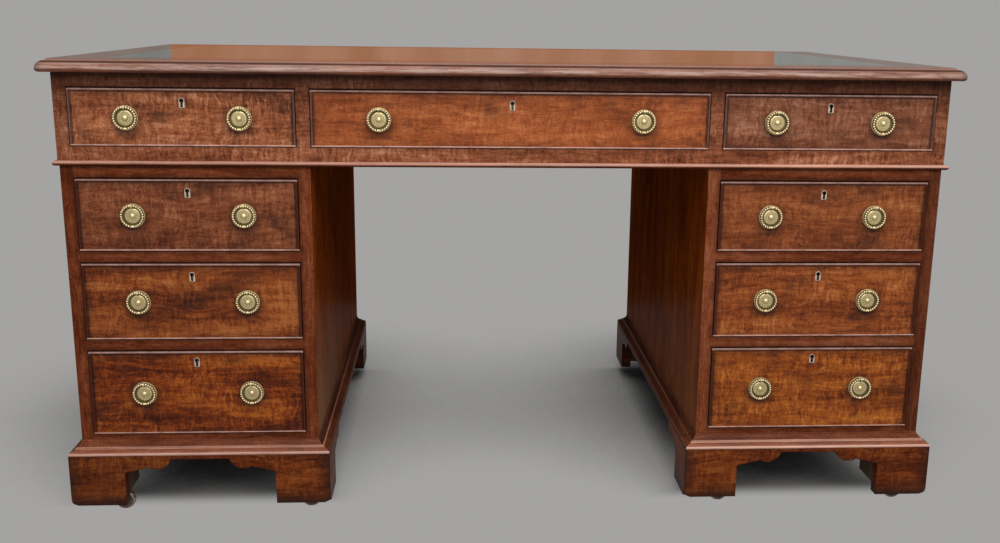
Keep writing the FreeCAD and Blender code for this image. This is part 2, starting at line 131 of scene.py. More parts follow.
# A keyhole's lining, inside and outside: rows of wall, pride, depth and patina
# Patina above 1 on the deep inner rows paints the inside of the keyhole near black, as painted shade
inner_lining_shares = ((0.0, 0.0, 1.0, 1.6), (0.0, 0.0, 0.0, 1.6), (0.0, 0.8, 0.0, 0.8),
                       (0.15, 1.0, 0.0, 0.1))
outer_lining_shares = ((0.55, 1.0, 0.0, 0.0), (0.75, 0.4, 0.0, 0.3), (0.75, 0.0, 1.0, 1.0))

# Castors
castor_segments = 32
crown_drop = 0.0005
crown_height = 0.004
crown_radius = 0.012
crown_shares = ((0.875, 0.0, 0.6), (1.0, 0.3, 0.1), (1.0, 0.75, 0.1), (0.933, 1.0, 0.4))
stem_radius = 0.005
stem_foot_patina = 0.9
stem_patina = 0.5
cheek_gap = 0.0008
cheek_half = 0.0065
cheek_shoulder = 0.0085
cheek_top_drop = 0.001
cheek_face_share = 0.97
cheek_eye_steps = 4
cheek_patina = 0.35
rivet_radius = 0.0036
rivet_height = 0.0005
rivet_seat_share = 0.96
rivet_segments = 18
rivet_shares = ((1.0, 0.0, 0.8), (0.833, 0.8, 0.1), (0.0, 1.0, 0.0))
axle_radius = 0.0029
axle_end_share = 0.95
axle_sides = 16
bore_gap = 0.0002
bore_ease = 0.0006
bore_patina = 0.9
wheel_shares = ((0.297, 0.0, 0.3), (0.389, 0.071, 0.8), (0.743, 0.086, 0.7),
                (0.829, 0.014, 0.2), (0.943, 0.086, 0.1), (1.0, 0.257, 0.0))

# Edges of made pieces: the angle in degrees past which they stay sharp, and the steps round an eased one
sharp_angle = 40.0
ease_segments = 2

# Carcass and mouldings
side_thickness = 0.021
frieze_bead_height = 0.008
base_moulding_height = 0.027
base_moulding_reach = 0.020
base_nosing_height = 0.006
base_fillet_low = 0.011
base_cove_low = 0.013

# Wood: colours by tone, its stains, and the colours that paint its rubbed places, highlights and shade
wood_stops = (
    (0.14, (0.045, 0.0085, 0.0022)),
    (0.36, (0.122, 0.0285, 0.0065)),
    (0.50, (0.200, 0.0520, 0.0130)),
    (0.64, (0.275, 0.0860, 0.0245)),
    (0.86, (0.400, 0.1600, 0.0580)),
)
# grime_and_shade darkens wood for dirt and tone, and also paints shade in quirks and hollows, at the top's
# ends and below the pulls
grime_and_shade = (0.022, 0.0070, 0.0042)
shadow_red = (0.010, 0.0012, 0.0004)
# Pale olive colour of the painted floor reflection on the pedestals' sides
side_floor_sheen = (0.230, 0.150, 0.085)
# Pale colours of the top's nose and of the mouldings, partly rubbed wear and partly painted highlight
top_rub_highlight = (0.360, 0.240, 0.200)
rub_highlight_left = (0.500, 0.285, 0.225)
rub_highlight_right = (0.620, 0.365, 0.280)
# Cock beads: dark, partly painted shade beside the drawers, with pale crests that are partly rubbed wear
# and partly painted highlight
bead_wood_and_shade = (0.060, 0.0125, 0.0050)
rubbed_crest_highlight = (0.540, 0.330, 0.280)

# Wood: noises along the grain first, how far two of them bend it, and how much the others move its tone
waver_noise = ((6.0, 14.0, 14.0), 3.0)
sway_noise = ((24.0, 24.0, 24.0), 2.0)
band_noise = ((3.0, 30.0, 30.0), 4.0, 0.60)
streak_noise = ((20.0, 165.0, 165.0), 4.0, 0.68)
fiddle_noise = ((170.0, 40.0, 40.0), 3.0, 0.65, 0.7)
patch_noise = ((7.0, 22.0, 22.0), 4.0, 0.58)
fleck_noise = ((260.0, 340.0, 340.0), 3.0, 0.7)
pore_noise = ((130.0, 800.0, 800.0), 2.0, 0.7)
waver_reach = 0.045
sway_reach = 0.026
middle_share = 0.5
plain_band_share = 0.58
streak_share = 0.72
patch_share = 0.40
fleck_share = 0.42
pore_share = 0.32
fiddle_span = (0.36, 0.62, 0.35, 1.0)
along_y = (1, 0, 2)
along_z = (2, 0, 1)

# Wood: polish, edges softened by handling, and the normals of faces to the sides and upward
pore_shine_share = 0.14
pore_bump_share = 0.10
pore_depth = 0.0004
edge_ease = 0.0012
ease_samples = 4
thin_coat = {"coat_weight": 0.04, "coat_roughness": 0.22}
carcass_coat = {"coat_weight": 0.10, "coat_roughness": 0.30}
drawer_coat = {"coat_weight": 0.04, "coat_roughness": 0.20}
sideways_share = 0.6
level_share = 0.98

# Dark margins beside the drawer openings, and painted shadow lines in the gaps round the drawers
opening_noise = (26.0, 4.0, 0.65)
gap_shadow_line = 0.0040
gap_shadow_share = 0.90
side_line_trim = 0.0014
low_line_trim = 0.0024
darkened_depth = 0.060

# Pedestals: shade and lightness of the left and right stiles, painted reflection of the floor low on the
# sides, lightness of the low rail
pedestal_looks = {
    "left": ((0.0, -0.04), (0.0, -0.04), 0.55, 0.0),
    "right": ((0.0, 0.11), (0.42, 0.0), 0.20, 0.09),
}
carcass_front_tint = (0.66, 0.59, 0.82)
carcass_side_tint = (0.84, 0.60, 0.17)
carcass_figure_share = 0.30
carcass_margin_reach = 0.014
carcass_margin_share = 0.55
floor_sheen_rise = (0.13, 0.36)
floor_sheen_run_span = (-0.34, 0.10, 1.0, 0.0)

# Frieze
frieze_front_tint = (1.04, 1.20, 2.00)
frieze_end_tint = (0.84, 0.66, 0.30)
frieze_figure_share = 1.2
frieze_margin_reach = 0.008
frieze_margin_share = 0.15
frieze_dull_span = (0.0, 0.006, 0.0, 0.13)
frieze_end_span = (-0.036, -0.028, 0.0, 0.14)
frieze_shade_noise = (24.0, 4.0, 0.65)
frieze_shade_waver = 0.008
frieze_shade_span = (-0.056, -0.006, 0.0, 0.72)

# Bead and base mouldings, by height above their lower edges
moulding_tint = (0.66, 0.58, 0.70)
moulding_figure_share = 0.4
moulding_ease = 0.0010
wear_noise = ((9.0, 120.0, 120.0), 5.0, 0.7)
wear_span = (0.22, 0.62, 0.45, 1.0)
# Pale bands from these spans and shares are partly rubbed wear and partly painted highlight; the hollow
# and bead shade shares paint shade
nosing_spans = ((0.0, 0.0020, 0.2, 1.0), (0.0048, 0.0066, 1.0, 0.0))
ovolo_shares = (0.16, 0.05)
fillet_low_margin = 0.0006
fillet_high_margin = 0.0004
fillet_share = 0.60
moulding_crown = 0.0016
moulding_crown_share = 0.10
bead_highlight_span = (0.0030, 0.0052, 0.0, 0.65)
bead_shade_span = (0.0012, 0.0036, 0.75, 0.0)
hollow_dirt_shade_share = 0.22
side_highlight_share = 0.20
side_shade_share = 0.45
highlight_paler_span = (0.0, 0.4, 0.0, 1.0)

# Bracket boards
foot_tint = (0.57, 0.415, 0.195)
foot_figure_share = 0.80
foot_band_share = 0.70
foot_contrast = 1.25
foot_ease = 0.0030
foot_sideways_share = 0.5
foot_edge_noise = ((16.0, 50.0, 50.0), 5.0, 0.7)
floor_edge_waver = 0.030
floor_dark_span = (0.014, 0.048, 0.94, 0.0)
corner_edge_waver = 0.020
corner_dark_span = (0.010, 0.040, 0.72, 0.0)
left_dark_span = (0.10, 0.25, 0.20, 0.0)

# Top, by height above its lower edge
top_tint = (0.62, 0.55, 0.70)
top_figure_share = 0.4
top_scuff_noise = ((12.0, 200.0, 200.0), 6.0, 0.75)
top_scuff_span = (0.38, 0.60, 0.15, 1.0)
# nose_spans set a pale band along the nose, partly rubbed wear and partly painted highlight; step_spans
# pale the step's face; the quirk and end spans paint shade
nose_spans = ((0.0030, 0.0068, 0.12, 1.0), (0.0085, 0.0120, 1.0, 0.50), (0.0138, 0.0154, 1.0, 0.15))
step_spans = ((0.0178, 0.0188, 0.0, 0.55), (0.0204, 0.0209, 1.0, 0.0))
top_quirk_shade_spans = ((0.0146, 0.0156, 0.0, 1.0), (0.0172, 0.0180, 0.80, 0.0))
top_end_shade_span = (-0.016, 0.0, 0.0, 0.60)
top_grazing_span = (0.80, 0.95, 0.0, 1.0)
top_roughness = 0.37
top_pore_share = 0.10
top_smooth_share = -0.24
top_scuff_share = 0.10
top_scuff_depth = 0.0006
dent_noise = (45.0, 4.0, 0.6)
top_dent_share = 0.5
dent_depth = 0.0010

# Drawers: tint, figure, banding and contrast of each front
drawer_looks = {
    "frieze_left": ((1.20, 1.34, 1.96), 1.25, 0.75, 1.16),
    "frieze_centre": ((1.34, 1.26, 1.34), 0.60, 0.55, 0.82),
    "frieze_right": ((0.84, 1.00, 1.76), 1.15, 0.80, 0.90),
    "left_top": ((0.80, 0.82, 1.14), 1.00, 0.60, 1.06),
    "left_middle": ((0.77, 0.61, 0.41), 0.95, 1.15, 1.18),
    "left_bottom": ((0.77, 0.51, 0.16), 1.05, 1.00, 1.42),
    "right_top": ((0.93, 0.89, 0.92), 0.95, 0.55, 0.90),
    "right_middle": ((1.06, 0.94, 0.72), 1.00, 0.70, 1.06),
    "right_bottom": ((1.15, 1.00, 0.44), 1.00, 0.70, 1.08),
}
drawer_ease = 0.0011
drawer_roughness = 0.34
smudge_noise = (30.0, 5.0, 0.65)
smudge_reach = 0.040
grime_span = (0.014, 0.044, 0.50, 0.0)
low_grime_trim = 0.006
cloud_noise = ((9.0, 9.0, 22.0), 3.0, 0.6)
cloud_span = (0.53, 0.72, 0.0, 0.62)
# A dark halo round each pull: dirt from handling and a painted shadow, centred below the pull
halo_shadow_drop = 0.006
halo_shadow_reach = 0.020
halo_shadow_span = (0.026, 0.046, 0.60, 0.0)
# The quirk paints shade inside each cock bead; the crest shares set how strong the painted highlight is on
# the side and top beads
quirk_width = 0.0034
quirk_share = 0.56
bead_rub_noise = (45.0, 4.0, 0.6)
bead_wear_span = (0.30, 0.62, 0.55, 1.0)
frieze_side_crest_share = 0.16
top_crest_share = 0.50
lining_noise = ((60.0, 2.5, 60.0), 4.0, 0.6, 0.6)
lining_stops = ((0.3, (0.16, 0.080, 0.034)), (0.7, (0.31, 0.180, 0.090)))
lining_dull_share = 0.35
inward_share = 0.5

# Corner blocks
block_noise = ((90.0, 90.0, 4.0), 4.0, 0.6, 0.5)
block_stops = ((0.3, (0.040, 0.019, 0.009)), (0.7, (0.100, 0.055, 0.026)))
block_roughness = 0.8
block_bump_share = 0.3
block_depth = 0.0006

# Leather
hide_cells = 900.0
hide_rub_noise = (4.0, 5.0, 0.65)
hide_fleck_noise = (70.0, 4.0, 0.7)
hide_rub_share = 0.6
hide_fleck_share = 0.4
hide_stops = ((0.35, (0.016, 0.021, 0.017)), (0.68, (0.060, 0.068, 0.056)))
hide_fleck_height_share = 0.5
hide_dull_span = (0.3, 0.7, 0.36, 0.50)
hide_grazing_span = (0.80, 0.95, 1.0, 0.16)
hide_bump_share = 0.03
hide_depth = 0.0002
hide_dent_share = 0.6

# Brass: bright and dull colours, colour of the hollows, roughness, and depth of the patina
brass_looks = {
    "aged_brass": ((0.72, 0.60, 0.33), (0.54, 0.43, 0.21), (0.062, 0.044, 0.011), 0.44, 0.92),
    "rubbed_brass": ((0.86, 0.70, 0.42), (0.64, 0.50, 0.27), (0.040, 0.026, 0.006), 0.42, 0.90),
    # pale_brass's near-black hollow colour paints the shade inside the keyholes
    "pale_brass": ((0.70, 0.56, 0.46), (0.50, 0.38, 0.30), (0.006, 0.002, 0.001), 0.52, 1.0),
    "castor_brass": ((0.54, 0.41, 0.34), (0.08, 0.046, 0.032), (0.022, 0.012, 0.007), 0.44, 0.88),
}
brass_cloud_noise = (420.0, 4.0, 0.6)
brass_cloud_span = (0.40, 0.70, 0.0, 1.0)
brass_spot_noise = (1600.0, 3.0, 0.6)
brass_spot_share = 0.5
brass_hollow_share = 0.7
brass_dull_share = 0.25
brass_cloud_share = 0.12
brass_bump_share = 0.08
brass_depth = 0.0002

# Floor: how open a place is to the front sets its shade
background = (0.371, 0.366, 0.356, 1.0)
floor_half = 40.0
floor_colour = (0.42, 0.415, 0.405)
floor_shadow = (0.07, 0.07, 0.07)
floor_roughness = 0.9
shade_samples = 16
shade_reach = 0.60
shade_lean = (0.12, -0.637, 0.761)
shade_shares = ((0.32, 0.0), (0.41, 0.06), (0.48, 0.24), (0.58, 0.47),
                (0.68, 0.67), (0.76, 0.90), (0.86, 1.0))
shade_depth_span = (-0.45, 0.20, 0.075, -0.0875)
front_light_span = (-0.385, -0.305, 1.0, 0.0)

# Glowing card, no lamp, that paints the wall the top reflects: brown in the middle, greenish grey beside,
# dark below
card_y = 1.10
card_half = 1.90
card_height = 1.20
card_left = -0.908
card_right = 0.859
card_shade_span = (0.78, 0.80, 0.0, 1.0)
card_shadow = (0.030, 0.010, 0.004)
panel_noise = ((7.0, 1.0, 0.4), 3.0, 0.6)
panel_stops = ((0.35, (0.43, 0.180, 0.088)), (0.65, (0.52, 0.250, 0.150)))
wing_noise = ((14.0, 1.0, 160.0), 4.0, 0.65)
wing_stops = ((0.36, (0.150, 0.158, 0.142)), (0.64, (0.345, 0.350, 0.330)))
right_wing_share = 0.10

# Lights: place, target, width and height, power in watts, and colour
ambient_colour = (0.96, 0.98, 1.0, 1.0)
ambient_strength = 0.36
area_lights = {
    "key_over_front": ((0.35, -3.4, 2.9), (0, 0, 0.4), (3.2, 1.6), 130.0, (1.0, 0.98, 0.95)),
    "overhead_strip": ((0, -0.95, 2.7), (0, -0.6, 0), (3.2, 0.3), 34.0, (1.0, 0.99, 0.97)),
}

hands = ("left", "right")
joints = {joint["name"]: joint for joint in frame["joints"]}


class Nodes:
    """Adds nodes to a tree. Most of its methods return an output socket."""

    def __init__(self, tree):
        self.tree = tree

    def put(self, socket, value):
        if isinstance(value, bpy.types.NodeSocket):
            self.tree.links.new(value, socket)
        elif value is not None:
            socket.default_value = value

    def node(self, kind, *values, **settings):
        made = self.tree.nodes.new("ShaderNode" + kind)
        for key, value in settings.items():
            setattr(made, key, value)
        for socket, value in zip(made.inputs, values):
            self.put(socket, value)
        return made

    def fill(self, made, **values):
        """Sets a node's inputs by their names."""
        for key, value in values.items():
            self.put(made.inputs[key.replace("_", " ").title().replace("Ior", "IOR")], value)
        return made

    def math(self, operation, *values):
        return self.node("Math", *values, operation=operation).outputs[0]

    def plus(self, *values):
        return self.math("ADD", *values)

    def minus(self, *values):
        return self.math("SUBTRACT", *values)

    def times(self, *values):
        return self.math("MULTIPLY", *values)

    def scaled(self, value, share, start):
        """A value times a share, added to a start."""
        return self.math("MULTIPLY_ADD", value, share, start)

    def larger(self, *values):
        return self.math("MAXIMUM", *values)

    def smaller(self, *values):
        return self.math("MINIMUM", *values)

    def size(self, value):
        return self.math("ABSOLUTE", value)

    def over(self, *values):
        return self.math("GREATER_THAN", *values)

    def under(self, *values):
        return self.math("LESS_THAN", *values)

    def seen(self):
        """1 where a place is looked at, straight or in a reflection, and 0 where it only lights others."""
        path = self.node("LightPath").outputs
        kinds = ("Camera", "Glossy", "Transmission")
        return reduce(self.larger, [path[f"Is {kind} Ray"] for kind in kinds])

    def show(self, shader, output):
        self.put(self.tree.nodes[output].inputs["Surface"], shader.outputs[0])


class Shader(Nodes):
    """Builds one material's nodes."""

    def __init__(self, name):
        self.material = bpy.data.materials.new(name)
        self.material.use_nodes = True
        super().__init__(self.material.node_tree)
        self.surface = self.tree.nodes["Principled BSDF"]
        coordinates = self.node("TexCoord")
        self.place = coordinates.outputs["Object"]
        self.x, self.y, self.z = self.node("SeparateXYZ", self.place).outputs
        self.facing = self.node("SeparateXYZ", coordinates.outputs["Normal"]).outputs

    def noise(self, vector, cells, detail, roughness=0.55, distortion=0.0):
        if isinstance(cells, tuple):
            vector = self.node("VectorMath", vector, cells, operation="MULTIPLY").outputs[0]
            cells = 1.0
        made = self.fill(self.node("TexNoise"), vector=vector, scale=cells, detail=detail,
                         roughness=roughness, distortion=distortion)
        return made.outputs[0]

    def swing(self, noise, share, start):
        """A noise's departure from its middle times a share, added to a start."""
        return self.scaled(self.minus(noise, middle_share), share, start)

    def band(self, value, *span):
        """A smooth step of a value over a span."""
        return self.node("MapRange", value, *span, interpolation_type="SMOOTHSTEP").outputs[0]

    def bands(self, value, spans):
        """Smooth steps of one value, multiplied."""
        return reduce(self.times, [self.band(value, *span) for span in spans])

    def ramp(self, value, stops):
        made = self.node("ValToRGB", value)
        points = made.color_ramp.elements
        while len(points) < len(stops):
            points.new(1.0)
        for point, (position, colour) in zip(points, stops):
            point.position = position
            point.color = (*colour, 1.0)
        return made.outputs[0]

    def mixed(self, kind, start, result, factor, first, last):
        """Mixes two values of one kind, by the places of its first input and of its output."""
        made = self.node("Mix", factor, data_type=kind)
        self.put(made.inputs[start], first)
        self.put(made.inputs[start + 1], last)
        return made.outputs[result]

    def mix(self, factor, *colours):
        colours = [(*colour, 1.0) if isinstance(colour, tuple) else colour for colour in colours]
        return self.mixed("RGBA", 6, 2, factor, *colours)

    def mix_vectors(self, *values):
        return self.mixed("VECTOR", 4, 1, *values)

    def mix_values(self, *values):
        return self.mixed("FLOAT", 2, 0, *values)

    def rounded(self, radius):
        """Normals eased over sharp edges, as handling leaves them."""
        return self.fill(self.node("Bevel", samples=ease_samples), radius=radius).outputs[0]

    def bump(self, height, strength, distance, normal=None):
        made = self.node("Bump")
        self.fill(made, strength=strength, distance=distance, height=height, normal=normal)
        return made.outputs[0]

    def finish(self, colour, roughness, normal=None, **constants):
        self.fill(self.surface, base_color=colour, roughness=roughness, normal=normal, **constants)
        return self.material


# Wood

def turned_vector(s, order):
    """The object's own coordinates with their axes reordered, grain first."""
    values = (s.x, s.y, s.z)
    return s.node("CombineXYZ", *[values[index] for index in order]).outputs[0]


def to_the_side(s):
    """1 on faces that look more along X than along Y."""
    return s.over(s.size(s.facing[0]), s.size(s.facing[1]))


def run_vector(s):
    """Grain that runs along X on faces to the front and back, and along Y on the ends."""
    return s.mix_vectors(to_the_side(s), s.place, turned_vector(s, along_y))


def wood_tone(s, vector, figure_share, band_share=plain_band_share, contrast=1.0):
    """Tone and pores of wavy bands and streaks along a vector's first axis, crossed by fiddle marks."""
    lift = s.swing(s.noise(vector, *waver_noise), waver_reach, 0.0)
    aside = s.swing(s.noise(vector, *sway_noise), sway_reach, 0.0)
    shift = s.node("CombineXYZ", aside, lift, lift).outputs[0]
    vector = s.node("VectorMath", vector, shift, operation="ADD").outputs[0]
    bands = s.noise(vector, *band_noise)
    streaks = s.noise(vector, *streak_noise)
    fiddle = s.noise(vector, *fiddle_noise)
    patch = s.noise(vector, *patch_noise)
    pores = s.noise(vector, *pore_noise)
    flecks = s.noise(vector, *fleck_noise)
    tone = middle_share
    for part, share in ((bands, band_share), (streaks, streak_share), (patch, patch_share),
                        (flecks, fleck_share), (pores, pore_share)):
        tone = s.swing(part, share * contrast, tone)
    crossing = s.swing(fiddle, s.band(patch, *fiddle_span), 0.0)
    return s.scaled(crossing, figure_share * contrast, tone), pores


def wood_colour(s, tone, tint):
    stops = []
    for position, colour in wood_stops:
        stops.append((position, tuple(part * share for part, share in zip(colour, tint))))
    return s.ramp(tone, stops)


def polish(s, colour, pores, roughness, ease, gloss, coat=thin_coat):
    """French polish over wood: rougher in the pores, with edges softened by handling."""
    shine = s.scaled(pores, pore_shine_share, roughness)
    normal = s.bump(pores, pore_bump_share, pore_depth, s.rounded(ease))
    return s.finish(colour, shine, normal, specular_ior_level=gloss, **coat)


def opening_distance(s, names):
    """How far a place on the front lies from the nearest of the named drawers."""
    distances = []
    for name in names:
        low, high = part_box(name + "_drawer")
        aside = s.larger(s.minus(low.x + side_line_trim, s.x), s.minus(s.x, high.x - side_line_trim))
        above = s.larger(s.minus(low.z + low_line_trim, s.z), s.minus(s.z, high.z))
        distances.append(s.larger(aside, above))
    return reduce(s.smaller, distances)


def darkened_openings(s, colour, names, reach, share):
    """Darkens wood in a soft margin beside the drawer openings, and paints the shadow in the gaps round
    the drawers as a sharp dark line.
    """
    away = opening_distance(s, names)
    front = s.under(s.y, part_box(names[0] + "_drawer")[0].y + darkened_depth)
    margin = s.swing(s.noise(s.place, *opening_noise), reach * 2, away)
    margin = s.times(s.band(margin, 0.0, reach, share, 0.0), front)
    # Painted shadow of the gap round each drawer
    line = s.times(s.band(away, gap_shadow_line / 2, gap_shadow_line, gap_shadow_share, 0.0), front)
    return s.mix(line, s.mix(margin, colour, grime_and_shade), shadow_red)


def drawers_of(word):
    return [name for name in drawer_looks if name.startswith(word)]


def carcass_material(word):
    """A pedestal's wood: upright grain on the sides and stiles, level grain on the rails, and a painted
    reflection of the floor low on the sides towards the front.
    """
    s = Shader(word + "_pedestal_wood")
    low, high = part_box(word + "_pedestal")
    drawers = drawers_of(word)
    left_stile, right_stile, sheen_share, rail_lightness = pedestal_looks[word]
    side = s.over(s.size(s.facing[0]), sideways_share)
    upright = side
    gloom = 0.0
    lift = 0.0
    on_left = s.under(s.x, low.x + side_thickness)
    on_right = s.over(s.x, high.x - side_thickness)
    for inside, (shade_share, lightness) in ((on_left, left_stile), (on_right, right_stile)):
        upright = s.larger(upright, inside)
        gloom = s.scaled(inside, shade_share, gloom)
        lift = s.scaled(inside, lightness, lift)
    rail = s.times(s.over(s.z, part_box(drawers[2] + "_drawer")[1].z),
                   s.under(s.z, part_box(drawers[1] + "_drawer")[0].z))
    lift = s.scaled(s.times(rail, s.minus(1.0, upright)), rail_lightness, lift)
    vector = s.mix_vectors(upright, s.place, turned_vector(s, along_z))
    tone, pores = wood_tone(s, vector, carcass_figure_share)
    front = s.mix(gloom, wood_colour(s, s.plus(tone, lift), carcass_front_tint), grime_and_shade)
    front = darkened_openings(s, front, drawers, carcass_margin_reach, carcass_margin_share)
    # Painted reflection of the floor, low on the sides and towards the front
    floor_sheen = s.times(s.band(s.z, *floor_sheen_rise, sheen_share, 0.0), s.band(s.y, *floor_sheen_run_span))
    sides = s.mix(floor_sheen, wood_colour(s, tone, carcass_side_tint), side_floor_sheen)
    colour = s.mix(side, front, sides)
    return polish(s, colour, pores, roughness=0.42, ease=edge_ease, gloss=0.0, coat=carcass_coat)


def frieze_material():
    """Frieze wood: level grain, dull at the ends, darker in the shade line under the top."""
    s = Shader("frieze_wood")
    tone, pores = wood_tone(s, run_vector(s), frieze_figure_share)
    side = s.over(s.size(s.facing[0]), sideways_share)
    colour = s.mix(side, wood_colour(s, tone, frieze_front_tint), wood_colour(s, tone, frieze_end_tint))
    colour = darkened_openings(s, colour, drawers_of("frieze"), frieze_margin_reach, frieze_margin_share)
    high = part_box("frieze_frame")[1]
    dull = s.band(s.minus(s.z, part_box("frieze_left_drawer")[0].z), *frieze_dull_span)
    end = s.band(s.minus(s.size(s.x), high.x), *frieze_end_span)
    colour = s.mix(s.plus(dull, end), colour, grime_and_shade)
    rise = s.scaled(s.noise(s.place, *frieze_shade_noise), frieze_shade_waver, s.minus(s.z, high.z))
    colour = s.mix(s.band(rise, *frieze_shade_span), colour, shadow_red)
    return polish(s, colour, pores, roughness=0.38, ease=edge_ease, gloss=0.10)


def base_rub_highlight(s, rise):
    """How pale a base moulding is, partly rubbed wear and partly painted highlight: nosing, ovolo, fillet
    and the strip at its top.
    """
    nosing = s.bands(rise, nosing_spans)
    ovolo = s.band(rise, base_nosing_height, base_fillet_low, *ovolo_shares)
    ovolo = s.times(ovolo, s.under(rise, base_fillet_low))
    fillet = s.times(s.over(rise, base_fillet_low - fillet_low_margin),
                     s.under(rise, base_cove_low + fillet_high_margin))
    crown = s.times(s.over(rise, base_moulding_height - moulding_crown), moulding_crown_share)
    return reduce(s.larger, (nosing, ovolo, s.times(fillet, fillet_share), crown))


def moulding_material():
    """Bead and base mouldings: pale along the noses and fillets, partly rubbed wear and partly painted
    highlight; painted shade with dirt in the hollows, and painted shade under the bead and on faces to the
    sides.
    """
    s = Shader("moulding_wood")
    vector = run_vector(s)
    tone, pores = wood_tone(s, vector, moulding_figure_share)
    low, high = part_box("applied_mouldings")
    rise = s.minus(s.z, low.z)
    bead_rise = s.minus(s.z, high.z - frieze_bead_height)
    base = s.under(rise, base_moulding_height * 2)
    sideways = to_the_side(s)
    # rubbed: pale bands, partly rubbed wear and partly painted highlight, weaker on faces to the sides
    rubbed = s.mix_values(base, s.band(bead_rise, *bead_highlight_span), base_rub_highlight(s, rise))
    rubbed = s.times(rubbed, s.band(s.noise(vector, *wear_noise), *wear_span))
    rubbed = s.times(rubbed, s.mix_values(sideways, 1.0, side_highlight_share))
    # hollow: painted shade with dirt in the cove
    hollow = s.times(s.over(rise, base_cove_low), s.minus(hollow_dirt_shade_share, rubbed))
    dark = s.mix_values(base, s.band(bead_rise, *bead_shade_span), hollow)
    colour = s.mix(dark, wood_colour(s, tone, moulding_tint), grime_and_shade)
    colour = s.mix(rubbed, colour, s.mix(s.band(s.x, *highlight_paler_span), rub_highlight_left, rub_highlight_right))
    colour = s.mix(s.times(sideways, side_shade_share), colour, shadow_red)
    return polish(s, colour, pores, roughness=0.40, ease=moulding_ease, gloss=0.07)


def foot_material():
    """Bracket boards: level grain, darker at the corners, along the floor edge and towards the desk's left
    end.
    """
    s = Shader("bracket_wood")
    vector = run_vector(s)
    tone, pores = wood_tone(s, vector, foot_figure_share, foot_band_share, foot_contrast)
    low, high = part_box("bracket_boards")
    inner_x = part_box("right_pedestal")[0].x - base_moulding_reach
    scuff = s.noise(vector, *foot_edge_noise)
    rise = s.scaled(scuff, floor_edge_waver, s.minus(s.z, low.z))
    outer = s.size(s.minus(s.size(s.x), high.x))
    inner = s.size(s.minus(s.size(s.x), inner_x))
    ends = s.size(s.minus(s.size(s.y), high.y))
    sideways = s.over(s.size(s.facing[0]), foot_sideways_share)
    corner = s.mix_values(sideways, s.smaller(outer, inner), ends)
    corner = s.scaled(scuff, corner_edge_waver, corner)
    dirt = reduce(s.larger, (s.band(rise, *floor_dark_span), s.band(corner, *corner_dark_span),
                             s.band(s.minus(s.x, low.x), *left_dark_span)))
    colour = s.mix(dirt, wood_colour(s, tone, foot_tint), grime_and_shade)
    return polish(s, colour, pores, roughness=0.44, ease=foot_ease, gloss=0.10)


def top_material():
    """The top's border and thumb-moulded edge: paler along the nosing, partly rubbed wear and partly
    painted highlight, and on the step over it; painted shade in the quirk and at the ends.
    """
    s = Shader("top_wood")
    vector = run_vector(s)
    tone, pores = wood_tone(s, vector, top_figure_share)
    scuff = s.noise(vector, *top_scuff_noise)
    low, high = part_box("desk_top")
    rise = s.minus(s.z, low.z)
    worn_highlight = s.times(s.bands(rise, nose_spans), s.band(scuff, *top_scuff_span))
    worn_highlight = s.larger(worn_highlight, s.bands(rise, step_spans))
    colour = s.mix(worn_highlight, wood_colour(s, tone, top_tint), top_rub_highlight)
    # Painted shade at the ends of the top and in the quirk over the nose
    corner = s.band(s.minus(s.size(s.x), high.x), *top_end_shade_span)
    colour = s.mix(s.larger(s.bands(rise, top_quirk_shade_spans), corner), colour, grime_and_shade)
    grazing = s.node("LayerWeight").outputs["Facing"]
    smooth = s.times(s.band(grazing, *top_grazing_span), s.over(s.facing[2], level_share))
    shine = s.scaled(smooth, top_smooth_share, s.scaled(pores, top_pore_share, top_roughness))
    dents = s.bump(s.noise(s.place, *dent_noise), top_dent_share, dent_depth, s.rounded(edge_ease))
    normal = s.bump(scuff, top_scuff_share, top_scuff_depth, dents)
    return s.finish(colour, shine, normal, specular_ior_level=0.24, **thin_coat)


def drawer_grime_and_shadow(s, inset, pulls):
    """How much dirt lies near a drawer's edges and in clouds, and how dark the halo round its pulls is,
    dirt and a painted shadow centred below each pull.
    """
    smudge = s.noise(s.place, *smudge_noise)
    grime = [s.band(s.scaled(smudge, smudge_reach, inset), *grime_span),
             s.band(s.noise(s.place, *cloud_noise), *cloud_span)]
    for pull in pulls:
        middle = pull - Vector((0, 0, halo_shadow_drop))
        away = s.node("VectorMath", s.place, middle, operation="DISTANCE").outputs["Value"]
        grime.append(s.band(s.scaled(smudge, halo_shadow_reach, away), *halo_shadow_span))
    return reduce(s.larger, grime)


def beaded_edges(s, colour, x_edge, low_edge, high_edge, side_crest_share):
    """Adds painted shade in the quirks inside the cock beads, and dark beads with pale crests, partly
    rubbed wear and partly painted highlight, fullest on the foot bead.
    """
    quirk = s.under(s.smaller(x_edge, high_edge), cock_bead_width + quirk_width)
    colour = s.mix(s.times(quirk, quirk_share), colour, shadow_red)
    on_sides, on_top, on_foot = [s.under(edge, cock_bead_width) for edge in (x_edge, high_edge, low_edge)]
    colour = s.mix(reduce(s.larger, (on_sides, on_top, on_foot)), colour, bead_wood_and_shade)
    crest = s.larger(s.times(on_sides, side_crest_share), s.times(on_top, top_crest_share))
    wear = s.band(s.noise(s.place, *bead_rub_noise), *bead_wear_span)
    return s.mix(s.times(s.larger(crest, on_foot), wear), colour, rubbed_crest_highlight)


